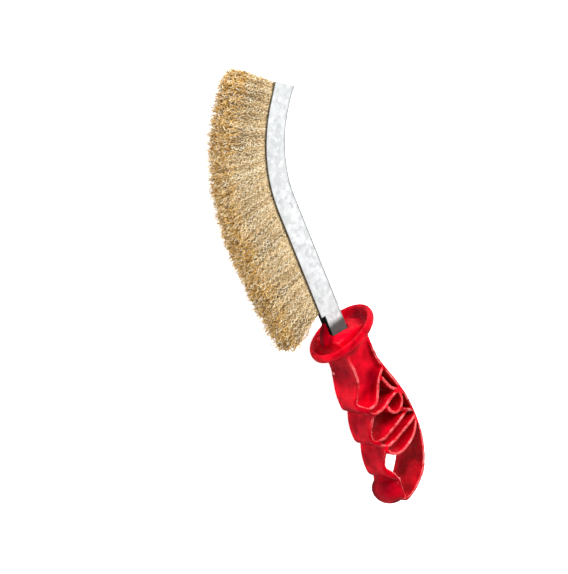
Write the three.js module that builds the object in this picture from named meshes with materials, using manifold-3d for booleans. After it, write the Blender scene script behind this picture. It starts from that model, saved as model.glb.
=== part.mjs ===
import * as THREE from "three";
import { mergeVertices } from "three/addons/utils/BufferGeometryUtils.js";
import Module from "manifold-3d";

const wasm = await Module();
wasm.setup();

// A hand wire brush: crimped wire fill folded round a core wire, held in a bent steel channel whose tang
// sits in a moulded plastic handle. Lengths are in millimetres and angles in radians.
// The parts are built in the brush's own frame: the origin is the middle of the handle's collar, +X runs
// along the tang towards the head, +Y is the way the wires point, and +Z goes across the brush.

const DEGREE = Math.PI / 180;
const CLEARANCE = 0.3; // between pieces that touch
const ARC_SEGMENTS = 8;
const HEAD_STEPS = 32; // sections along the bent head
const CUTTER = 60; // more than the handle's height and width, for the solids that trim it

// Steel channel, folded from sheet with a fully round spine. The legs stand towards +Y.
const SHEET = 0.9;
const CHANNEL_WIDTH = 7.5;
const SPINE_Y = -4.5;
const LEG_HEIGHT = 15.2;
const LEGS_START = 17.5;
const BEND_START = 88;
const BEND_RADIUS = 70;
const BEND_ANGLE = 42 * DEGREE;
const TIP_STRAIGHT = 12.4;
const CHANNEL_END = BEND_START + BEND_RADIUS * BEND_ANGLE + TIP_STRAIGHT;
const SPINE_CENTRE = CHANNEL_WIDTH / 2; // height of the round spine's centre above its back

// Tang: the narrower, lower end of the channel, inside the handle.
const TANG_START = -28;
const TANG_OVERLAP = 2;
const TANG_WIDTH = 7.1;
const TANG_HEIGHT = 12.5;

// Wire fill and the core wire that its bundles are folded round.
const CORE_RADIUS = 1;
const BUNDLES = 36;
const FILL_START = 23.5;
const FILL_END = CHANNEL_END - 2;
const FILL_HEIGHT = 47; // from the spine's back to the tips, at mid brush
const UPPER_TRIM_DROP = 3; // how much lower the tips are at each end
const LOWER_TRIM_DROP = 0.6;
const TIP_HALF_WIDTH = 8.8;
const TIP_CHAMFER = 1.3;
const LOWER_FAN = 11 * DEGREE;
const UPPER_FAN = 6.5 * DEGREE;
const FAN_REACH = 26; // how far from each end the wires start to lean

// Handle
const HANDLE_HALF_WIDTH = 12.4; // across the brush
const SECTION_POWER = 2.9; // exponent of the superellipse that rounds the handle's section
const SECTION_MIDDLE_Y = -3.4;
const SECTION_HALF_HEIGHT = 19.2;
const NECK_HALF_WIDTH = 9.6; // across the brush, where the neck meets the collar
const END_HALF_WIDTH = 7;
const BAND = 1.8; // thickness of the finger and back bands
const RIB = 1.8;
const FIRST_CREST = new THREE.Vector2(-38.2, 14.9);
const FINGER_PITCH = 21.4;
const FINGERS = 3;
const CREST_DROP = 0.6; // how much lower each crest is than the one before it
const GROOVE_BACK = 8.8; // from a crest back to the groove behind it
const GROOVE_Y = 8.6;
const KNOB_CENTRE = new THREE.Vector2(-96.9, 9.2); // rounded knob at the handle's end
const KNOB_RADII = new THREE.Vector3(8.6, 8.8, 11.2);
const LAST_CREST = new THREE.Vector2(-97, 9.8); // the outline's last crest, inside the knob
const HANDLE_END = new THREE.Vector2(-104.9, 6.5);
const LAND_X = -102.4; // flat land at the end of the hang opening

// Collar, the boss round the tang's socket, and the gusset against the tang's open side
const COLLAR_HALF_HEIGHT = 22.1;
const COLLAR_HALF_WIDTH = 17.7;
const COLLAR_LEAN = 12.5 * DEGREE;
const BOSS_FRONT = 3.5;
const BOSS_LEAN = 6 * DEGREE; // the other way from the collar, higher on the finger side
const GUSSET_WIDTH = 3.8;
const GUSSET = [[0, 6], [12.4, 6], [12.4, 8.7], [7.4, 12.9], [3, 14.8], [0, 14.8]];

// The brush lies on its side on the collar's rim and two places of its wire tips.
const REST_ROLL = -4.6 * DEGREE;
const REST_PITCH = 2.7 * DEGREE;

const redPlastic = new THREE.MeshStandardMaterial({ color: 0xc4061f, roughness: 0.35, metalness: 0 });
const zincSteel = new THREE.MeshStandardMaterial({ color: 0xc8cccf, roughness: 0.45, metalness: 0.9 });
const brassedWire = new THREE.MeshStandardMaterial({ color: 0xb58a4c, roughness: 0.5, metalness: 0.8 });

function toSolid(geometry) {
  const bare = geometry.clone();
  bare.deleteAttribute("normal");
  bare.deleteAttribute("uv");
  const merged = mergeVertices(bare, 1e-4);
  const triVerts = new Uint32Array(merged.index.array);
  const vertProperties = new Float32Array(merged.attributes.position.array);
  return new wasm.Manifold(new wasm.Mesh({ numProp: 3, vertProperties, triVerts }));
}

function toGeometry(solid) {
  const mesh = solid.getMesh();
  const geometry = new THREE.BufferGeometry();
  geometry.setAttribute("position", new THREE.BufferAttribute(mesh.vertProperties, 3));
  geometry.setIndex(new THREE.BufferAttribute(mesh.triVerts, 1));
  geometry.computeVertexNormals();
  return geometry;
}

function union(solids) {
  return solids.reduce((joined, solid) => joined.add(solid));
}

// A shape of the XY plane as a slab that is centred on the brush's middle plane.
function slab(shape, thickness) {
  const options = { depth: thickness, bevelEnabled: false, curveSegments: 6 };
  return toSolid(new THREE.ExtrudeGeometry(shape, options).translate(0, 0, -thickness / 2));
}

// A shape seen from above, with its second coordinate across the brush, as a solid that reaches past it in Y.
function acrossY(shape) {
  const geometry = new THREE.ExtrudeGeometry(shape, { depth: CUTTER, bevelEnabled: false, curveSegments: 5 });
  return toSolid(geometry.translate(0, 0, -CUTTER / 2).rotateX(Math.PI / 2));
}

// The point on the spine's back at a distance along it, and the way the channel's legs stand there.
function spineAt(distance) {
  const bendLength = BEND_RADIUS * BEND_ANGLE;
  const angle = THREE.MathUtils.clamp(distance - BEND_START, 0, bendLength) / BEND_RADIUS;
  const past = Math.max(distance - BEND_START - bendLength, 0);
  const x = Math.min(distance, BEND_START) + BEND_RADIUS * Math.sin(angle) + past * Math.cos(angle);
  const y = SPINE_Y - BEND_RADIUS * (1 - Math.cos(angle)) - past * Math.sin(angle);
  return { point: new THREE.Vector3(x, y, 0), angle };
}

class SpineLine extends THREE.Curve {
  constructor(start, end, height) {
    super();
    this.start = start;
    this.end = end;
    this.height = height;
  }

  getPoint(t, target = new THREE.Vector3()) {
    const { point, angle } = spineAt(THREE.MathUtils.lerp(this.start, this.end, t));
    const up = new THREE.Vector3(Math.sin(angle), Math.cos(angle), 0);
    return target.copy(point).addScaledVector(up, this.height);
  }
}

function sweep(section, line, steps) {
  return new THREE.ExtrudeGeometry(section, { steps, extrudePath: line, curveSegments: ARC_SEGMENTS });
}

function shapeOf(corners) {
  return new THREE.Shape(corners.map(([x, y]) => new THREE.Vector2(x, y)));
}

// A U of sheet metal, open at the top, with its spine's back at the given height.
function channelSection(width, bottom, top) {
  const outer = width / 2;
  const inner = outer - SHEET;
  const centre = bottom + outer;
  const section = new THREE.Shape();
  section.moveTo(-inner, top);
  section.lineTo(-outer, top);
  section.absarc(0, centre, outer, Math.PI, 2 * Math.PI, false);
  section.lineTo(outer, top);
  section.lineTo(inner, top);
  section.absarc(0, centre, inner, 2 * Math.PI, Math.PI, true);
  section.closePath();
  return section;
}

function buildChannel() {
  const legs = channelSection(CHANNEL_WIDTH, 0, LEG_HEIGHT);
  const head = sweep(legs, new SpineLine(LEGS_START, CHANNEL_END, 0), HEAD_STEPS);
  const tangBottom = (CHANNEL_WIDTH - TANG_WIDTH) / 2;
  const tangSection = channelSection(TANG_WIDTH, tangBottom, TANG_HEIGHT);
  const tang = sweep(tangSection, new SpineLine(TANG_START, LEGS_START + TANG_OVERLAP, 0), 1);
  return toGeometry(toSolid(head).add(toSolid(tang)));
}

function buildCoreWire() {
  const section = new THREE.Shape().absarc(0, 0, CORE_RADIUS, 0, 2 * Math.PI, false);
  const line = new SpineLine(FILL_START - CORE_RADIUS, FILL_END + CORE_RADIUS, SPINE_CENTRE);
  return sweep(section, line, HEAD_STEPS);
}

// One bundle's section across the brush: it wraps round the core wire and flares from the lips to the tips.
function bundleSection() {
  const inside = CHANNEL_WIDTH / 2 - SHEET - CLEARANCE;
  const section = new THREE.Shape();
  section.moveTo(-TIP_HALF_WIDTH, FILL_HEIGHT - TIP_CHAMFER);
  section.lineTo(-inside, LEG_HEIGHT);
  section.absarc(0, SPINE_CENTRE, inside, Math.PI, 2 * Math.PI, false);
  section.lineTo(inside, LEG_HEIGHT);
  section.lineTo(TIP_HALF_WIDTH, FILL_HEIGHT - TIP_CHAMFER);
  section.lineTo(TIP_HALF_WIDTH - TIP_CHAMFER, FILL_HEIGHT);
  section.lineTo(TIP_CHAMFER - TIP_HALF_WIDTH, FILL_HEIGHT);
  section.closePath();
  const coreHole = new THREE.Path().absarc(0, SPINE_CENTRE, CORE_RADIUS + CLEARANCE, 0, 2 * Math.PI, true);
  section.holes.push(coreHole);
  return section;
}

// The plane between two bundles: where it crosses the core wire, its direction, and its height at the tips.
function bundleBoundary(index) {
  const distance = THREE.MathUtils.lerp(FILL_START, FILL_END, index / BUNDLES);
  const { point, angle } = spineAt(distance);
  const fromLower = Math.max(1 - (distance - FILL_START) / FAN_REACH, 0);
  const fromUpper = Math.max(1 - (FILL_END - distance) / FAN_REACH, 0);
  const lean = angle - LOWER_FAN * fromLower ** 2 + UPPER_FAN * fromUpper ** 2;
  const core = point.add(new THREE.Vector3(Math.sin(angle), Math.cos(angle), 0).multiplyScalar(SPINE_CENTRE));
  const fromMiddle = 2 * (index / BUNDLES) - 1;
  const trimDrop = fromMiddle < 0 ? LOWER_TRIM_DROP : UPPER_TRIM_DROP;
  return {
    core,
    direction: new THREE.Vector3(Math.sin(lean), Math.cos(lean), 0),
    trim: 1 - (trimDrop * fromMiddle ** 2) / (FILL_HEIGHT - LEG_HEIGHT),
  };
}

// A bundle fills the space between two boundaries, so neighbours fan out together without overlapping.
function buildBundle(index) {
  const options = { depth: 1, bevelEnabled: false, curveSegments: ARC_SEGMENTS / 2 };
  const geometry = new THREE.ExtrudeGeometry(bundleSection(), options);
  const sides = [bundleBoundary(index), bundleBoundary(index + 1)];
  const pitch = (FILL_END - FILL_START) / BUNDLES;
  const inset = CLEARANCE / 2 / pitch;
  const position = geometry.attributes.position;
  for (let i = 0; i < position.count; i += 1) {
    const share = THREE.MathUtils.lerp(inset, 1 - inset, position.getZ(i));
    const height = position.getY(i);
    const [lower, upper] = sides.map(({ core, direction, trim }) => {
      const trimmed = height > LEG_HEIGHT ? LEG_HEIGHT + (height - LEG_HEIGHT) * trim : height;
      return core.clone().addScaledVector(direction, trimmed - SPINE_CENTRE);
    });
    const place = lower.lerp(upper, share);
    position.setXYZ(i, place.x, place.y, -position.getX(i));
  }
  geometry.computeVertexNormals();
  return geometry;
}

function fingerCrest(finger) {
  return new THREE.Vector2(FIRST_CREST.x - finger * FINGER_PITCH, FIRST_CREST.y - finger * CREST_DROP);
}

// The handle's outline seen from the side: a waist behind the collar, finger crests with grooves behind
// them, a round end and a bellied back.
function handleOutline() {
  const outline = new THREE.Path();
  outline.moveTo(2, 11);
  outline.bezierCurveTo(-8, 9.8, -14, 8.8, -20, 9);
  outline.bezierCurveTo(-27, 9.3, -33, FIRST_CREST.y, FIRST_CREST.x, FIRST_CREST.y);
  for (let finger = 0; finger < FINGERS; finger += 1) {
    const crest = fingerCrest(finger);
    const grooveX = crest.x - GROOVE_BACK;
    const next = finger === FINGERS - 1 ? LAST_CREST : fingerCrest(finger + 1);
    outline.bezierCurveTo(crest.x - 4.4, crest.y, grooveX + 0.9, GROOVE_Y + 2.8, grooveX, GROOVE_Y);
    outline.bezierCurveTo(grooveX - 3.6, GROOVE_Y + 2.4, next.x + 4, next.y, next.x, next.y);
  }
  outline.bezierCurveTo(-102, LAST_CREST.y, -105.2, 9.5, HANDLE_END.x, HANDLE_END.y);
  outline.bezierCurveTo(-104.4, 2, -98.5, -7, -90, -12.6);
  outline.bezierCurveTo(-84, -15.7, -76, -20.6, -66, -20.8);
  outline.bezierCurveTo(-50, -20.8, -36, -13.2, -22, -10.3);
  outline.bezierCurveTo(-15, -8.8, -8, -10, 2, -10.5);
  return outline.getPoints(6);
}

// A line of points moved sideways: a positive distance moves it to the left of its own direction.
function offsetLine(points, distance, closed) {
  const count = points.length;
  return points.map((point, i) => {
    const before = points[closed ? (i + count - 1) % count : Math.max(i - 1, 0)];
    const after = points[closed ? (i + 1) % count : Math.min(i + 1, count - 1)];
    const along = after.clone().sub(before).normalize();
    return new THREE.Vector2(point.x - along.y * distance, point.y + along.x * distance);
  });
}

// A rib: a wall of even thickness along a smooth line of [x, y] points.
function ribShape(points) {
  const curve = new THREE.SplineCurve(points.map(([x, y]) => new THREE.Vector2(x, y)));
  const line = curve.getPoints(3 * points.length);
  const left = offsetLine(line, RIB / 2, false);
  const right = offsetLine(line, -RIB / 2, false);
  return new THREE.Shape([...left, ...right.reverse()]);
}

const SOCKET_RIB = [
  [-38, 14], [-42.5, 10], [-43, 6.5], [-41.5, 3], [-37.5, 0], [-33, -3], [-29, -7], [-26.5, -11],
];
const LATTICE_RIBS = [
  SOCKET_RIB,
  [[-47.5, 9.5], [-47.7, 3.5], [-47.2, -1], [-45.2, -6], [-44.4, -11], [-44.5, -17]],
  [[-47.4, -2], [-51.5, -3.2], [-54.2, -5.7], [-54.8, -10], [-57.5, -13.8], [-61, -19]],
  [[-30, -5.8], [-35, -7.6], [-39.8, -9.4], [-44.3, -13.3], [-49.5, -13.8], [-52.8, -11.8], [-54.6, -9]],
  [[-63.5, 13], [-63.3, 6.5], [-61.7, 1], [-60.3, -4.6], [-58.9, -9.4], [-57.6, -14]],
  [[-69, 9], [-68.3, 1.7], [-67, -3.7], [-65.6, -10], [-64.5, -19]],
  [[-69.6, 8.6], [-74.5, 5.6], [-76.4, 0], [-75.4, -5.3], [-73.6, -10.1], [-70.7, -14.4], [-66, -19]],
];

// The handle's end is solid on the finger side, down to the hang opening's flat edge and its land.
const KNOB_FOOT = [
  [-79.5, 20], [-80, 12.3], [-82.4, 10.3], [-85.8, 8.5], [-90, 7.4], [-96, 7.6], [LAND_X, 8.4],
  [LAND_X, -4], [-109, -4], [-109, 20],
];

function buildKnob() {
  const ball = new THREE.SphereGeometry(1, 28, 20).rotateX(Math.PI / 2);
  ball.scale(KNOB_RADII.x, KNOB_RADII.y, KNOB_RADII.z).translate(KNOB_CENTRE.x, KNOB_CENTRE.y, 0);
  return toSolid(ball).intersect(slab(shapeOf(KNOB_FOOT), CUTTER));
}

const BODY_THINNING = 3.8; // how much half of the socket body's thickness shrinks towards the socket rib

// The solid body round the socket. Seen from the finger side it thins from the collar to the socket rib.
function buildSocketBody() {
  const outline = [[2, 9.5], [-20, 8], [-35, 12.5], ...SOCKET_RIB, [-22, -9.8], [2, -9.5]];
  const body = slab(shapeOf(outline), 2 * HANDLE_HALF_WIDTH);
  const thin = NECK_HALF_WIDTH - BODY_THINNING;
  const taper = shapeOf([[3, -NECK_HALF_WIDTH], [3, NECK_HALF_WIDTH], [-46, thin], [-46, -thin]]);
  return body.intersect(acrossY(taper));
}

// The space that the handle's bands and ribs may fill: its outline, its rounded section and its end.
function buildEnvelope(outline) {
  const section = new THREE.Shape();
  const corners = 40;
  for (let i = 0; i < corners; i += 1) {
    const turn = (2 * Math.PI * i) / corners;
    const power = 2 / SECTION_POWER;
    const across = Math.sign(Math.cos(turn)) * Math.abs(Math.cos(turn)) ** power * HANDLE_HALF_WIDTH;
    const up = Math.sign(Math.sin(turn)) * Math.abs(Math.sin(turn)) ** power * SECTION_HALF_HEIGHT;
    const place = new THREE.Vector2(across, SECTION_MIDDLE_Y + up);
    if (i === 0) section.moveTo(place.x, place.y);
    else section.lineTo(place.x, place.y);
  }
  const alongX = new THREE.LineCurve3(new THREE.Vector3(-110, 0, 0), new THREE.Vector3(4, 0, 0));
  const rounded = new THREE.ExtrudeGeometry(section, { steps: 1, extrudePath: alongX });

  const neck = NECK_HALF_WIDTH;
  const wide = HANDLE_HALF_WIDTH;
  const end = END_HALF_WIDTH;
  const plan = new THREE.Shape();
  plan.moveTo(4, -neck);
  plan.lineTo(4, neck);
  plan.bezierCurveTo(-20, neck, -30, wide, -50, wide);
  plan.lineTo(-92, wide);
  plan.bezierCurveTo(-100, wide, -106, end + 3.5, -107, end);
  plan.lineTo(-107, -end);
  plan.bezierCurveTo(-106, -end - 3.5, -100, -wide, -92, -wide);
  plan.lineTo(-50, -wide);
  plan.bezierCurveTo(-30, -wide, -20, -neck, 4, -neck);

  return slab(new THREE.Shape(outline), CUTTER).intersect(toSolid(rounded)).intersect(acrossY(plan));
}

// Turned about the X axis, then stretched to an oval. Each profile point is [radius, x], back to front.
function turned(profile, scaleY, scaleZ, segments) {
  const points = profile.map(([radius, x]) => new THREE.Vector2(radius, x));
  const geometry = new THREE.LatheGeometry(points, segments);
  return geometry.rotateZ(-Math.PI / 2).scale(1, scaleY, scaleZ);
}

function buildCollar() {
  const rimRadius = 19.7;
  const profile = [
    [0, -9.5], [11, -9.5], [12.6, -6.4], [15.4, -4.4], [17.8, -3.4], [19.4, -1.9], [rimRadius, 0],
    [19.4, 1.8], [18.4, 2.6], [17.2, 2.3], [16.2, 0.8], [14.8, -1.2], [12.8, -1.6], [9, 2], [0, 2],
  ];
  const flange = turned(profile, COLLAR_HALF_HEIGHT / rimRadius, COLLAR_HALF_WIDTH / rimRadius, 32);
  const bossProfile = [[0, -3], [11.8, -3], [11.4, 1], [10.6, 2.8], [9.6, BOSS_FRONT], [0, BOSS_FRONT]];
  const boss = turned(bossProfile, 1, 0.9, 24);
  const gusset = slab(shapeOf(GUSSET), GUSSET_WIDTH);
  return union([toSolid(flange.rotateZ(COLLAR_LEAN)), toSolid(boss.rotateZ(-BOSS_LEAN)), gusset]);
}

// The tang's outer shape with clearance all round, open at the front.
function buildSocketSpace() {
  const outer = TANG_WIDTH / 2 + CLEARANCE;
  const section = new THREE.Shape();
  section.moveTo(outer, TANG_HEIGHT + CLEARANCE);
  section.lineTo(-outer, TANG_HEIGHT + CLEARANCE);
  section.absarc(0, SPINE_CENTRE, outer, Math.PI, 2 * Math.PI, false);
  return toSolid(sweep(section, new SpineLine(TANG_START - CLEARANCE, LEGS_START, 0), 1));
}

function buildHandle() {
  const outline = handleOutline();
  const bands = new THREE.Shape(outline);
  bands.holes.push(new THREE.Path(offsetLine(outline, BAND, true)));
  const ribs = LATTICE_RIBS.map((points) => slab(ribShape(points), CUTTER));
  const knobFoot = slab(shapeOf(KNOB_FOOT), CUTTER);
  const lattice = union([slab(bands, CUTTER), ...ribs, knobFoot]).intersect(buildEnvelope(outline));
  const body = union([lattice, buildSocketBody(), buildKnob(), buildCollar()]);
  return toGeometry(body.subtract(buildSocketSpace()));
}

const brush = new THREE.Group();

function addPiece(name, geometry, material) {
  const mesh = new THREE.Mesh(geometry, material);
  mesh.name = name;
  brush.add(mesh);
}

addPiece("handle", buildHandle(), redPlastic);
addPiece("channel", buildChannel(), zincSteel);
addPiece("core_wire", buildCoreWire(), zincSteel);
for (let index = 0; index < BUNDLES; index += 1) {
  const number = String(index + 1).padStart(2, "0");
  addPiece(`wire_bundle_${number}`, buildBundle(index), brassedWire);
}

// The row stands on the surface, centred over the origin.
brush.rotation.set(REST_ROLL, REST_PITCH, 0);
const box = new THREE.Box3().setFromObject(brush, true);
const middle = box.getCenter(new THREE.Vector3());
brush.position.set(-middle.x, -middle.y, -box.min.z);

const object = new THREE.Group();
object.add(brush);
export default object;
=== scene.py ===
"""A curved hand wire brush: crimped brassed wires in a bent steel channel, and a moulded red handle."""

import math
import random

import bpy
import numpy as np
from mathutils import Matrix, Vector


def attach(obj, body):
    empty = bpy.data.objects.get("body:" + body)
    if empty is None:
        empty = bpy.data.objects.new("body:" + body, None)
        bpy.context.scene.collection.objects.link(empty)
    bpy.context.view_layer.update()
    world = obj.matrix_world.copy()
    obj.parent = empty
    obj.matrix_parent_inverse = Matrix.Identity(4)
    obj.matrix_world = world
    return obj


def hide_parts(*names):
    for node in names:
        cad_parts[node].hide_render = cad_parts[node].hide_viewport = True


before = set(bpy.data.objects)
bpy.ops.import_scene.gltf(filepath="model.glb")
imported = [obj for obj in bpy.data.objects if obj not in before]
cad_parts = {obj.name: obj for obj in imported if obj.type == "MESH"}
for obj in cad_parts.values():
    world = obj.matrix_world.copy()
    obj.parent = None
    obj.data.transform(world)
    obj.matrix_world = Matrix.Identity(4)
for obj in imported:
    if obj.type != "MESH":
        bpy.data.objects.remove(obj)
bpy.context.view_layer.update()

MM = 0.001

# The brush's own frame, in millimetres: the origin is the middle of the collar, x runs along the tang to
# the head, y is the way the wires point and z goes across. The brush lies on its side, a little rolled
# and pitched.
REST_ROLL = math.radians(-4.6)
REST_PITCH = math.radians(2.7)
BRUSH_ORIGIN = np.array([-34.932, -5.716, 17.623])
REST = np.array(Matrix.Rotation(REST_ROLL, 3, "X") @ Matrix.Rotation(REST_PITCH, 3, "Y"))

# Channel, folded from sheet with a round spine. Its sizes and the wire fill's follow the CAD's.
SHEET = 0.9
CHANNEL_WIDTH = 7.5
SPINE_Y = -4.5
SPINE_CENTRE = CHANNEL_WIDTH / 2
LEG_HEIGHT = 15.2
LEGS_START = 17.5
BEND_START = 88
BEND_RADIUS = 70
BEND_ANGLE = math.radians(42)
TIP_STRAIGHT = 12.4
CHANNEL_END = BEND_START + BEND_RADIUS * BEND_ANGLE + TIP_STRAIGHT
HEAD_RINGS = 90
ARC_STEPS = 20  # round the spine
LIP_ROUNDING = 0.35  # how far down the lips' edges are rounded
LIP_CORNER = 0.12  # how far in and how far down the middle of the rounding is
LIP_CORNER_DROP = 0.08
LIP_FLAT = 0.4  # from the leg's outer side to the middle of the lip's top
CREASE_ANGLE = math.radians(35)

FLARE = 0.1  # how much the channel's end is spread, as a share of its size
FLARE_BACK = 1.1  # how far the spine bends back there
FLARE_REACH = 6  # how far from the end it begins

TANG_START = -28
TANG_OVERLAP = 2
TANG_WIDTH = 7.1
TANG_HEIGHT = 12.5
TANG_RINGS = 48

# Painted shade on the zinc: darkest inside the channel and on the lips' cut edges, a painted shadow near
# the collar, and weaker painted shade on the spine as it turns away.
PAINTED_SHADE_STRENGTH = 0.92
SPINE_PAINTED_SHADE = 0.75
SPINE_SHADE_START = 8  # degrees round from the flat side
SPINE_SHADE_FULL = 35
LIP_PAINTED_SHADE = [0, 0.3, 0.9, 0.9]  # from the leg's outer side to its inner side
COLLAR_SHADOW_END = 12.5  # its place along the tang
COLLAR_SHADOW_BLEND = 3.4

# Wire fill, one piece for each CAD bundle. The drops are how much lower the tips are at each end, the fans
# are how far the last wires lean out there, and the fans' reach is how far from the end they begin.
BUNDLES = 36
FILL_START = 23.5
FILL_END = CHANNEL_END - 2
FILL_HEIGHT = 47
UPPER_TRIM_DROP = 2.6
LOWER_TRIM_DROP = 3
TIP_HALF_WIDTH = 8.8
LOWER_FAN = math.radians(17)
UPPER_FAN = math.radians(6.5)
FAN_REACH = 26
LIP_HALF_WIDTH = 2.0  # of the wires, between the channel's lips
CORE_CLEARANCE = 1.3  # from the core wire's middle to the innermost wires

EDGE_DROP = 3  # how much shorter the outermost wires are than the middle ones
END_SHARE = 0.06  # the part of the fill's length that counts as its end
UPPER_END_DROP = 3  # how much shorter the very last wires at the channel's end are

# How ragged the wires are: the mean and spread of what they reach past the trim line, the share that is
# longer or shorter still, and the spreads of their sway along the brush and of their place across it.
REACH_PAST_TRIM = (2.6, 1.1)
ODD_SHARE = 0.1
ODD_REACH = (-4, 1.5)
SWAY = 1.5
SWAY_POWER = 1.5
SPREAD_SCATTER = 0.55
SPREAD_POWER = 1.12
PLACE_JITTER = (0.1, 0.9)

# The wires. A crimp is a wire's short waves, a wander is its long ones; heights and lengths are ranges.
WIRE_RADIUS = 0.19
WIRE_SIDES = 3
ROWS_ALONG = 9
COLUMNS = 9  # hairpins across each half of the fill
CRIMP_HEIGHTS = (0.45, 0.95)
CRIMP_LENGTHS = (3, 5)
CRIMP_START = 2  # how far below the lips the crimp begins
CRIMP_BLEND = 4
SPREAD_START = 0.5  # how far above the lips the wires begin to spread
WANDER_HEIGHTS = (0.5, 1.5)
WANDER_LENGTHS = (10, 26)
STEPS_IN_CHANNEL = 6
LEG_STEPS = 54
FOLD_STEPS = 5
WIRE_SEED = 7
STEADY_AXIS = np.array([0.83, -0.55, 0.1])  # a direction that no wire runs along

# Painted shade on the handle, as spots at places in the brush's frame with sizes. They are mirrored in z.
PAINTED_SHADE_SPOTS = [
    ((-19, 13, 3), 13),  # the neck
    ((-49, 16, 4), 12),  # the finger hollows
    ((-72, 17, 4), 11),
    ((-93, 13, 4), 12),  # the knob
    ((9, 12, 0), 9),  # the gusset
    ((1, 15, 0), 8),  # the collar's dish
    ((2, -15, 2), 9),
    ((-31, -4.5, 5), 11),  # the socket's side
]
SHADE_SPOT_STRENGTH = 0.85
SHADE_SPOT_CORE = 0.2  # the full dark part of a spot, as a share of its size


def to_row(points):
    """Points of the brush's frame, in millimetres, as points of the row's frame, in metres."""
    return (BRUSH_ORIGIN + np.asarray(points, float) @ REST.T) * MM


def direction_to_row(x, y, z):
    return Vector(REST @ np.array([x, y, z], float))


def spine_at(distance):
    """The spine's back at a distance along it, as x and y, and how far the legs lean there."""
    bend_length = BEND_RADIUS * BEND_ANGLE
    angle = min(max(distance - BEND_START, 0), bend_length) / BEND_RADIUS
    past = max(distance - BEND_START - bend_length, 0)
    x = min(distance, BEND_START) + BEND_RADIUS * math.sin(angle) + past * math.cos(angle)
    y = SPINE_Y - BEND_RADIUS * (1 - math.cos(angle)) - past * math.sin(angle)
    return x, y, angle


# ---------------------------------------------------------------- materials, with their places in metres

# The sockets of a mix node that mixes colours.
MIX_FACTOR = 0
MIX_FIRST = 6
MIX_SECOND = 7
MIX_RESULT = 2


class Nodes:
    """A short way to build a node material: each call adds a node and links its inputs."""

    def __init__(self, name):
        self.material = bpy.data.materials.new(name)
        self.material.use_nodes = True
        self.tree = self.material.node_tree
        self.shader = self.tree.nodes["Principled BSDF"]

    def add(self, kind, inputs=None, **settings):
        node = self.tree.nodes.new(kind)
        for key, value in settings.items():
            setattr(node, key, value)
        for key, value in (inputs or {}).items():
            self.set(node, key, value)
        return node

    def set(self, node, key, value):
        if isinstance(value, bpy.types.NodeSocket):
            self.tree.links.new(value, node.inputs[key])
        else:
            node.inputs[key].default_value = value

    def shade(self, **inputs):
        for key, value in inputs.items():
            self.set(self.shader, key.replace("_", " "), value)

    def place(self):
        return self.add("ShaderNodeTexCoord").outputs["Object"]

    def brush_place(self):
        """The place in the brush's own frame, in metres."""
        turn = Matrix(REST.tolist()).to_euler()
        inputs = {"Vector": self.place(), "Location": tuple(BRUSH_ORIGIN * MM), "Rotation": tuple(turn)}
        return self.add("ShaderNodeMapping", inputs, vector_type="TEXTURE").outputs["Vector"]

    def attribute(self, name):
        return self.add("ShaderNodeAttribute", attribute_name=name).outputs["Fac"]

    def noise(self, scale, detail=3, roughness=0.5, vector=None):
        place = vector or self.place()
        inputs = {"Scale": scale, "Detail": detail, "Roughness": roughness, "Vector": place}
        return self.add("ShaderNodeTexNoise", inputs).outputs["Fac"]

    def ramp(self, factor, stops):
        """A colour from a factor: each stop is a position and its colour."""
        node = self.add("ShaderNodeValToRGB", {"Fac": factor})
        elements = node.color_ramp.elements
        while len(elements) < len(stops):
            elements.new(0.5)
        for element, (position, colour) in zip(elements, stops):
            element.position = position
            element.color = (*colour, 1)
        return node.outputs["Color"]

    def fade(self, factor, low, high):
        """0 at low and before it, 1 at high and past it."""
        inputs = {"Value": factor, "From Min": low, "From Max": high}
        return self.add("ShaderNodeMapRange", inputs).outputs["Result"]

    def mix(self, factor, first, second):
        """The first colour at a factor of 0, the second at 1."""
        node = self.add("ShaderNodeMix", data_type="RGBA")
        self.set(node, MIX_FACTOR, factor)
        for socket, colour in ((MIX_FIRST, first), (MIX_SECOND, second)):
            self.set(node, socket, (*colour, 1) if isinstance(colour, tuple) else colour)
        return node.outputs[MIX_RESULT]

    def maths(self, operation, first, second=0.0):
        return self.add("ShaderNodeMath", {0: first, 1: second}, operation=operation).outputs["Value"]

    def less(self, factor):
        """One less a factor."""
        return self.maths("SUBTRACT", 1.0, factor)

    def bump(self, height, strength, distance):
        inputs = {"Height": height, "Strength": strength, "Distance": distance}
        return self.add("ShaderNodeBump", inputs).outputs["Normal"]


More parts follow.
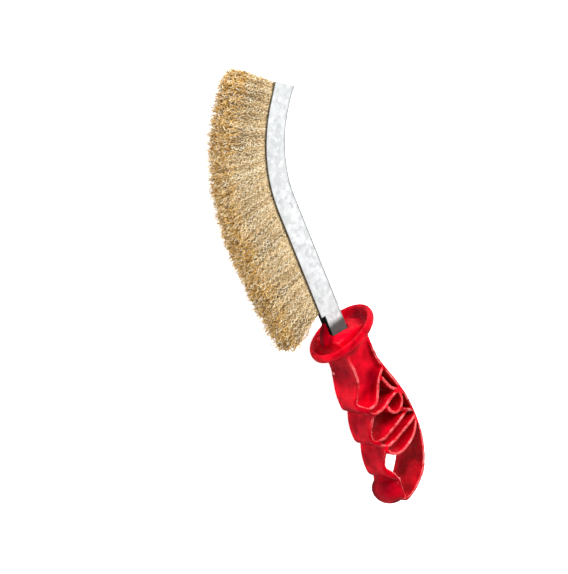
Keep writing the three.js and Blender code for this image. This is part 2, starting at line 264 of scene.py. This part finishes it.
def red_plastic():
    """Cloudy red plastic, with painted shade deep in its thickness and in spots, painted light in its
    closed hollows, and pale rims on the grip that are part painted highlight and part worn whitening.
    """
    n = Nodes("red_plastic")
    parts = n.add("ShaderNodeSeparateXYZ", {"Vector": n.brush_place()})
    across = n.maths("ABSOLUTE", parts.outputs["Z"])
    on_grip = n.fade(parts.outputs["X"], -0.010, -0.018)
    body = n.ramp(n.noise(110, detail=4), [(0.35, (0.26, 0.0, 0.004)), (0.65, (0.70, 0.001, 0.014))])

    # Painted shade: darker towards the middle of the grip's thickness, deep in its pockets.
    middle = n.maths("ADD", across, n.maths("MULTIPLY", n.noise(70, detail=2), 0.006))
    inside = n.maths("MULTIPLY", n.less(n.fade(middle, 0.005, 0.0135)), on_grip)
    deep = n.mix(n.maths("MULTIPLY", inside, 0.2), body, (0.13, 0.0, 0.003))
    mirrored = {"X": parts.outputs["X"], "Y": parts.outputs["Y"], "Z": across}
    mirrored_place = n.add("ShaderNodeCombineXYZ", mirrored).outputs["Vector"]
    # Painted shade in spots: the lobes' middles, the knob, the gusset, the collar's dish and the socket's
    # side.
    for spot, size in PAINTED_SHADE_SPOTS:
        ends = {0: mirrored_place, 1: tuple(MM * value for value in spot)}
        distance = n.add("ShaderNodeVectorMath", ends, operation="DISTANCE").outputs["Value"]
        shade = n.less(n.fade(distance, SHADE_SPOT_CORE * size * MM, size * MM))
        deep = n.mix(n.maths("MULTIPLY", shade, SHADE_SPOT_STRENGTH), deep, (0.08, 0.0, 0.003))
    # Painted light: where ambient occlusion finds the plastic closed in, its colour turns to a flat
    # brighter red, standing in for light that fills the hollows.
    open_air = n.add("ShaderNodeAmbientOcclusion", {"Distance": 0.012}, samples=8).outputs["AO"]
    painted_light_and_shade = n.mix(n.fade(open_air, 0.1, 0.75), (0.42, 0.0, 0.004), deep)

    # Pale rims on convex edges: a painted highlight, partly worn whitening, stronger on the grip and none
    # in the middle of the thickness.
    pointiness = n.add("ShaderNodeNewGeometry").outputs["Pointiness"]
    rim_highlights = n.maths("MULTIPLY", n.fade(pointiness, 0.526, 0.575), n.fade(n.noise(220, detail=4), 0.3, 0.62))
    rim_highlights = n.maths("MULTIPLY", rim_highlights, n.fade(across, 0.003, 0.005))
    worn_and_highlit = n.maths("MULTIPLY", rim_highlights, n.maths("ADD", n.maths("MULTIPLY", on_grip, 0.83), 0.12))
    colour = n.mix(worn_and_highlit, painted_light_and_shade, (1.0, 0.42, 0.40))

    grain = n.noise(2600, detail=2)
    ripple = n.noise(140, detail=3)
    height = n.maths("ADD", n.maths("MULTIPLY", grain, 0.25), ripple)
    n.shade(
        Base_Color=colour,
        Roughness=n.fade(n.noise(300, detail=3), -0.4, 2.8),
        Specular_IOR_Level=0.4,
        Specular_Tint=(1.0, 0.07, 0.1, 1.0),
        Normal=n.bump(height, 0.3, 0.0005),
    )
    return n.material


def zinc_steel():
    """Zinc-coated sheet with a faint spangle, darker in patches towards the tip, with painted shade inside,
    on the lips and on the spine, a painted shadow near the collar, and lightly scratched.
    """
    n = Nodes("zinc_steel")
    place = n.place()
    spangle = n.add("ShaderNodeTexVoronoi", {"Vector": place, "Scale": 420.0}, feature="F1")
    flake = n.add("ShaderNodeSeparateColor", {"Color": spangle.outputs["Color"]}).outputs["Red"]
    cloud = n.noise(190, detail=6, roughness=0.7)
    blend = n.maths("ADD", n.maths("MULTIPLY", flake, 0.35), n.maths("MULTIPLY", cloud, 0.75))
    body = n.ramp(blend, [
        (0.25, (0.36, 0.37, 0.38)),
        (0.5, (0.47, 0.48, 0.48)),
        (0.75, (0.58, 0.59, 0.60)),
    ])
    along = n.add("ShaderNodeSeparateXYZ", {"Vector": n.brush_place()}).outputs["X"]
    # Darker grey in cloudy patches towards the tip.
    tip_patches = n.maths("MULTIPLY", n.fade(along, 0.085, 0.12), n.fade(cloud, 0.42, 0.6))
    body = n.mix(n.maths("MULTIPLY", tip_patches, 0.5), body, (0.30, 0.31, 0.32))
    # Painted shade darkens the zinc inside the channel, on the lips and on the spine, and a painted shadow
    # darkens it near the collar.
    shade_painted_colour = n.mix(n.attribute("painted_shade"), body, (0.025, 0.03, 0.028))
    lengthways = {"Vector": place, "Scale": (30.0, 900.0, 900.0)}
    stretched = n.add("ShaderNodeMapping", lengthways).outputs["Vector"]
    scratches = n.fade(n.noise(3, detail=6, roughness=0.7, vector=stretched), 0.62, 0.68)
    colour = n.mix(n.maths("MULTIPLY", scratches, 0.35), shade_painted_colour, (0.30, 0.31, 0.33))
    height = n.maths("SUBTRACT", cloud, n.maths("MULTIPLY", scratches, 0.4))
    n.shade(
        Base_Color=colour,
        Metallic=0.2,
        Specular_IOR_Level=0.3,
        Roughness=n.fade(blend, -0.6, 1.9),
        Normal=n.bump(height, 0.25, 0.0003),
    )
    return n.material


def brassed_wire():
    """Dull brassed wire, each with its own tint: pale along its side and browner at its tip."""
    n = Nodes("brassed_wire")
    tint = n.attribute("tint")
    along = n.attribute("along")
    pale = n.ramp(tint, [
        (0.0, (0.16, 0.10, 0.05)),
        (0.2, (0.60, 0.42, 0.21)),
        (0.65, (0.94, 0.72, 0.40)),
        (1.0, (1.0, 0.95, 0.76)),
    ])
    brown = n.ramp(tint, [
        (0.0, (0.20, 0.09, 0.02)),
        (0.3, (0.80, 0.46, 0.12)),
        (0.7, (1.0, 0.74, 0.32)),
        (1.0, (1.0, 0.97, 0.84)),
    ])
    tips = n.fade(n.maths("ADD", along, n.maths("MULTIPLY", n.noise(160, detail=2), 0.3)), 0.85, 1.12)
    body = n.mix(tips, pale, brown)
    patina = n.fade(n.noise(900, detail=4), 0.52, 0.72)
    colour = n.mix(n.maths("MULTIPLY", patina, 0.55), body, (0.24, 0.14, 0.06))
    n.shade(
        Base_Color=colour,
        Metallic=0.35,
        Roughness=n.fade(n.noise(1500, detail=2), -0.5, 1.9),
    )
    return n.material


def pale_floor():
    """A near-white floor that glows a little, and that glossy reflections don't pick up."""
    n = Nodes("pale_floor")
    shade = n.ramp(n.noise(6, detail=2), [(0.3, (0.90, 0.90, 0.90)), (0.7, (0.93, 0.93, 0.93))])
    glossy_ray = n.add("ShaderNodeLightPath").outputs["Is Glossy Ray"]
    seen = n.mix(glossy_ray, shade, (0.05, 0.05, 0.05))
    n.shade(Base_Color=seen, Roughness=0.9, Emission_Color=seen, Emission_Strength=0.85)
    return n.material


# ---------------------------------------------------------------- meshes


def make_object(name, vertices, faces, material, smooth_angle=None):
    mesh = bpy.data.meshes.new(name)
    mesh.from_pydata(vertices, [], faces)
    mesh.materials.append(material)
    mesh.shade_smooth()
    if smooth_angle is not None:
        mesh.set_sharp_from_angle(angle=smooth_angle)
    mesh.update()
    piece = bpy.data.objects.new(name, mesh)
    bpy.context.scene.collection.objects.link(piece)
    return piece


def store(mesh, name, values):
    mesh.attributes.new(name, "FLOAT", "POINT").data.foreach_set("value", np.asarray(values, np.float32))


def loft(rings):
    """Faces of a closed tube through equal rings, with flat ends."""
    count = len(rings[0])
    vertices = np.concatenate(rings)
    faces = []
    for ring in range(len(rings) - 1):
        for i in range(count):
            j = (i + 1) % count
            near, far = ring * count, (ring + 1) * count
            faces.append((near + i, near + j, far + j, far + i))
    faces.append(tuple(range(count))[::-1])
    faces.append(tuple((len(rings) - 1) * count + i for i in range(count)))
    return vertices, faces


def channel_section(width, bottom, top):
    """The folded sheet's outline across the brush, as (z, height) pairs, with slightly rounded lips."""
    outer = width / 2
    inner = outer - SHEET
    centre = bottom + outer
    lip = [
        (outer, top - LIP_ROUNDING),
        (outer - LIP_CORNER, top - LIP_CORNER_DROP),
        (outer - LIP_FLAT, top),
        (inner + LIP_CORNER, top - LIP_CORNER_DROP),
    ]
    arc = [math.pi * k / ARC_STEPS for k in range(ARC_STEPS + 1)]
    outside = [(-outer * math.cos(a), centre - outer * math.sin(a)) for a in arc]
    inside = [(inner * math.cos(a), centre - inner * math.sin(a)) for a in arc]
    left_lip = [(-z, height) for z, height in lip[::-1]]
    inner_top = top - LIP_ROUNDING
    return [*left_lip, *outside, *lip, (inner, inner_top), *inside, (-inner, inner_top)]


def section_painted_shade():
    """How much painted shade each point of the channel's section gets, in the order of channel_section: on
    the spine as it turns away, on the lips' cut edges, which are bare steel with painted shadow from the
    wires, and full inside.
    """
    turned = [180 * min(k, ARC_STEPS - k) / ARC_STEPS for k in range(ARC_STEPS + 1)]
    blend = SPINE_SHADE_FULL - SPINE_SHADE_START
    spine = [SPINE_PAINTED_SHADE * min(max((angle - SPINE_SHADE_START) / blend, 0), 1) for angle in turned]
    # Full painted shade inside the channel, where its recess lies in shade.
    inside = [1] * (ARC_STEPS + 3)
    return np.array([*LIP_PAINTED_SHADE[::-1], *spine, *LIP_PAINTED_SHADE, *inside])


def sweep_section(section, distances):
    """The section drawn along the spine, with the channel's end spread a little."""
    rings = []
    for distance in distances:
        x, y, angle = spine_at(distance)
        up = np.array([math.sin(angle), math.cos(angle), 0])
        flare = max(1 - (CHANNEL_END - distance) / FLARE_REACH, 0) ** 2
        widen = 1 + FLARE * flare
        ring = []
        for z, height in section:
            ring.append(np.array([x, y, z * widen]) + up * (height * widen - FLARE_BACK * flare))
        rings.append(np.array(ring))
    return loft(rings)


def build_channel(material):
    head_section = channel_section(CHANNEL_WIDTH, 0, LEG_HEIGHT)
    tang_section = channel_section(TANG_WIDTH, (CHANNEL_WIDTH - TANG_WIDTH) / 2, TANG_HEIGHT)
    parts = (
        ("channel_head", head_section, np.linspace(LEGS_START, CHANNEL_END, HEAD_RINGS)),
        ("channel_tang", tang_section, np.linspace(TANG_START, LEGS_START + TANG_OVERLAP, TANG_RINGS)),
    )
    pieces = []
    for name, section, distances in parts:
        points, faces = sweep_section(section, distances)
        piece = make_object(name, to_row(points).tolist(), faces, material, CREASE_ANGLE)
        # A painted shadow on the tang near the collar, where it goes into the socket, over the section's
        # painted shade.
        collar_shadow = np.clip((COLLAR_SHADOW_END - points[:, 0]) / COLLAR_SHADOW_BLEND, 0, 1)
        around = np.tile(section_painted_shade(), len(distances))
        store(piece.data, "painted_shade", np.maximum(collar_shadow, around) * PAINTED_SHADE_STRENGTH)
        pieces.append(piece)
    return pieces


def boundary(share):
    """The plane across the fill at a share of its length: its point on the core wire, lean and trim."""
    distance = FILL_START + share * (FILL_END - FILL_START)
    x, y, angle = spine_at(distance)
    from_lower = max(1 - (distance - FILL_START) / FAN_REACH, 0)
    from_upper = max(1 - (FILL_END - distance) / FAN_REACH, 0)
    lean = angle - LOWER_FAN * from_lower**2 + UPPER_FAN * from_upper**2
    core = np.array([x + SPINE_CENTRE * math.sin(angle), y + SPINE_CENTRE * math.cos(angle), 0])
    trim_drop = LOWER_TRIM_DROP if share < 0.5 else UPPER_TRIM_DROP
    trim = 1 - trim_drop * (2 * share - 1) ** 2 / (FILL_HEIGHT - LEG_HEIGHT)
    return core, lean, trim


def wave(heights, sizes, lengths, first, second, rng):
    """A sideways wave of a wire, in a random mix of the first and the second direction."""
    size = rng.uniform(*sizes)
    length = rng.uniform(*lengths)
    angle = rng.uniform(0, math.pi)
    direction = math.cos(angle) * first + math.sin(angle) * second
    phase = rng.uniform(0, 2 * math.pi)
    return np.outer(size * np.sin(2 * math.pi * heights / length + phase), direction)


def wire_path(share, across, rng):
    """One hairpin: down one side of the fill, round the core wire and up the other side."""
    core, lean, trim = boundary(share)
    up = np.array([math.sin(lean), math.cos(lean), 0])
    along = np.array([math.cos(lean), -math.sin(lean), 0])
    out = np.array([0, 0, 1.0])
    points = []
    height_along = []
    for side in (1, -1):
        reach = FILL_HEIGHT * trim - EDGE_DROP * across**4 + rng.gauss(*REACH_PAST_TRIM)
        if rng.random() < ODD_SHARE:
            reach += rng.uniform(*ODD_REACH)
        sway = rng.gauss(0, SWAY)
        if share < END_SHARE:
            sway = abs(sway)
        elif share > 1 - END_SHARE:
            sway = -abs(sway)
            reach -= UPPER_END_DROP * (1 - (1 - share) / END_SHARE)
        spread = side * across * TIP_HALF_WIDTH + rng.gauss(0, SPREAD_SCATTER)
        lip = side * (CORE_CLEARANCE + across * (LIP_HALF_WIDTH - CORE_CLEARANCE))
        free = np.linspace(LEG_HEIGHT - CRIMP_START, reach, LEG_STEPS)
        held = np.linspace(SPINE_CENTRE, free[0], STEPS_IN_CHANNEL, endpoint=False)
        heights = np.concatenate([held, free])
        past_lip = np.clip((heights - LEG_HEIGHT - SPREAD_START) / (reach - LEG_HEIGHT), 0, 1)
        loose = np.clip((heights - LEG_HEIGHT + CRIMP_START) / CRIMP_BLEND, 0, 1)
        crimp = wave(heights, CRIMP_HEIGHTS, CRIMP_LENGTHS, along, out, rng)
        wander = wave(heights, WANDER_HEIGHTS, WANDER_LENGTHS, along, out, rng)
        leg = (
            core
            + np.outer(heights - SPINE_CENTRE, up)
            + np.outer(lip + (spread - lip) * past_lip**SPREAD_POWER, out)
            + np.outer(sway * past_lip**SWAY_POWER, along)
            + crimp * loose[:, None]
            + wander * np.minimum(2 * past_lip, 1)[:, None]
        )
        if side == 1:
            points.extend(leg[::-1])
            height_along.extend(past_lip[::-1])
            for k in range(1, FOLD_STEPS):
                turn = math.pi * k / FOLD_STEPS
                points.append(core + out * lip * math.cos(turn) - up * lip * math.sin(turn))
                height_along.append(0.0)
        else:
            points.extend(leg)
            height_along.extend(past_lip)
    return np.array(points), np.array(height_along)


def tube(points, radius, sides):
    """Rings of a round wire along points, which share one steady frame."""
    tangent = np.gradient(points, axis=0)
    tangent /= np.linalg.norm(tangent, axis=1)[:, None]
    side = np.cross(tangent, STEADY_AXIS)
    side /= np.linalg.norm(side, axis=1)[:, None]
    other = np.cross(tangent, side)
    turns = 2 * math.pi * np.arange(sides) / sides
    across = np.cos(turns)[None, :, None] * side[:, None, :]
    around = np.sin(turns)[None, :, None] * other[:, None, :]
    return (points[:, None, :] + radius * (across + around)).reshape(-1, 3)


def tube_faces(rings, sides, first):
    """The faces of a tube and its two flat ends, from its first point's number on."""
    near = first + np.arange(rings - 1)[:, None] * sides + np.arange(sides)[None, :]
    turned = first + np.arange(rings - 1)[:, None] * sides + (np.arange(sides)[None, :] + 1) % sides
    quads = np.stack([near, turned, turned + sides, near + sides], axis=-1).reshape(-1, 4)
    last = first + (rings - 1) * sides
    caps = [tuple(first + i for i in range(sides))[::-1], tuple(last + i for i in range(sides))]
    return [*map(tuple, quads.tolist()), *caps]


def build_bundle(index, material):
    """The hairpins that stand for one CAD bundle, in rows along the fill and columns across it."""
    rng = random.Random(WIRE_SEED * 1000 + index)
    vertices, faces, along, tint = [], [], [], []
    count = 0
    for row in range(ROWS_ALONG):
        for column in range(COLUMNS):
            share = (index + (row + rng.uniform(*PLACE_JITTER)) / ROWS_ALONG) / BUNDLES
            across = (column + rng.uniform(*PLACE_JITTER)) / COLUMNS
            points, heights = wire_path(share, across, rng)
            vertices.append(tube(points, WIRE_RADIUS, WIRE_SIDES))
            faces.extend(tube_faces(len(points), WIRE_SIDES, count))
            count += len(points) * WIRE_SIDES
            along.append(np.repeat(heights, WIRE_SIDES))
            tint.append(np.full(len(points) * WIRE_SIDES, rng.random()))
    name = f"wires_{index + 1:02d}"
    piece = make_object(name, to_row(np.concatenate(vertices)).tolist(), faces, material)
    store(piece.data, "along", np.concatenate(along))
    store(piece.data, "tint", np.concatenate(tint))
    return piece


# ---------------------------------------------------------------- the object

plastic = red_plastic()
zinc = zinc_steel()
brass = brassed_wire()

# The handle is the CAD's own shape with its corners rounded, as moulded plastic has them.
MOULD_VOXEL = 0.6 * MM
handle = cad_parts["handle"]
handle.data.materials.clear()
handle.data.materials.append(plastic)
remesh = handle.modifiers.new("mould", "REMESH")
remesh.mode = "VOXEL"
remesh.voxel_size = MOULD_VOXEL
remesh.use_smooth_shade = True
relax = handle.modifiers.new("soften", "SMOOTH")
relax.factor = 0.5
relax.iterations = 5

core_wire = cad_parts["core_wire"]
core_wire.data.materials.clear()
core_wire.data.materials.append(zinc)

for piece in build_channel(zinc):
    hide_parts("channel")
    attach(piece, "root")

for index in range(BUNDLES):
    piece = build_bundle(index, brass)
    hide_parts(f"wire_bundle_{index + 1:02d}")
    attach(piece, "root")

# ---------------------------------------------------------------- floor, light and camera

FLOOR_SIZE = 8.0
FLOOR_DROP = 0.5 * MM
bpy.ops.mesh.primitive_plane_add(size=FLOOR_SIZE, location=(0, 0, -FLOOR_DROP))
floor = bpy.context.object
floor.name = "floor"
floor.data.materials.append(pale_floor())

# The camera's right and up come from directions of the brush's frame, and the brush's origin shows right of
# and below the view's middle. The lens is very long, because the photograph shows no perspective.
CAMERA_RIGHT = direction_to_row(-0.3395, -0.6914, 0.6378).normalized()
CAMERA_BACK = CAMERA_RIGHT.cross(direction_to_row(0.8403, -0.5276, -0.1246)).normalized()
CAMERA_UP = CAMERA_BACK.cross(CAMERA_RIGHT)
ORIGIN_RIGHT = 32.06 * MM
ORIGIN_DOWN = 25.83 * MM
VIEW_HEIGHT = 318.9 * MM
LENS = 1500
SENSOR = 36
CLIP_END = 40  # metres
VIEW_CENTRE = Vector(BRUSH_ORIGIN * MM) - CAMERA_RIGHT * ORIGIN_RIGHT + CAMERA_UP * ORIGIN_DOWN


def make_camera():
    camera = bpy.data.objects.new("camera", bpy.data.cameras.new("camera"))
    camera.data.lens = LENS
    camera.data.sensor_width = SENSOR
    camera.data.clip_end = CLIP_END
    bpy.context.scene.collection.objects.link(camera)
    axes = Matrix((CAMERA_RIGHT, CAMERA_UP, CAMERA_BACK)).transposed()
    place = Matrix.Translation(VIEW_CENTRE + CAMERA_BACK * VIEW_HEIGHT * LENS / SENSOR)
    camera.matrix_world = place @ axes.to_4x4()
    bpy.context.scene.camera = camera


def make_world(light, reflection):
    """A white studio, with a strength of its own in glossy reflections so that the red stays deep."""
    world = bpy.data.worlds.new("studio")
    world.use_nodes = True
    nodes = world.node_tree.nodes
    links = world.node_tree.links
    background = nodes["Background"]
    background.inputs["Color"].default_value = (1, 1, 1, 1)
    strength = nodes.new("ShaderNodeMapRange")
    strength.inputs["To Min"].default_value = light
    strength.inputs["To Max"].default_value = reflection
    links.new(nodes.new("ShaderNodeLightPath").outputs["Is Glossy Ray"], strength.inputs["Value"])
    links.new(strength.outputs["Result"], background.inputs["Strength"])
    bpy.context.scene.world = world


def softbox(name, right, up, back, size, power, distance):
    """A square light in a direction seen from the camera, which doesn't show in reflections."""
    light = bpy.data.objects.new(name, bpy.data.lights.new(name, "AREA"))
    light.data.shape = "SQUARE"
    light.data.size = size
    light.data.energy = power
    bpy.context.scene.collection.objects.link(light)
    toward = (CAMERA_RIGHT * right + CAMERA_UP * up + CAMERA_BACK * back).normalized()
    light.location = VIEW_CENTRE + toward * distance
    light.rotation_euler = toward.to_track_quat("Z", "Y").to_euler()
    light.visible_glossy = False


make_camera()
make_world(light=0.5, reflection=0.4)
softbox("key", right=0.8, up=0.7, back=0.75, size=0.5, power=16, distance=0.9)
softbox("fill", right=-0.6, up=0.1, back=0.95, size=0.5, power=9.5, distance=1.2)
bpy.context.scene.view_settings.view_transform = "Standard"
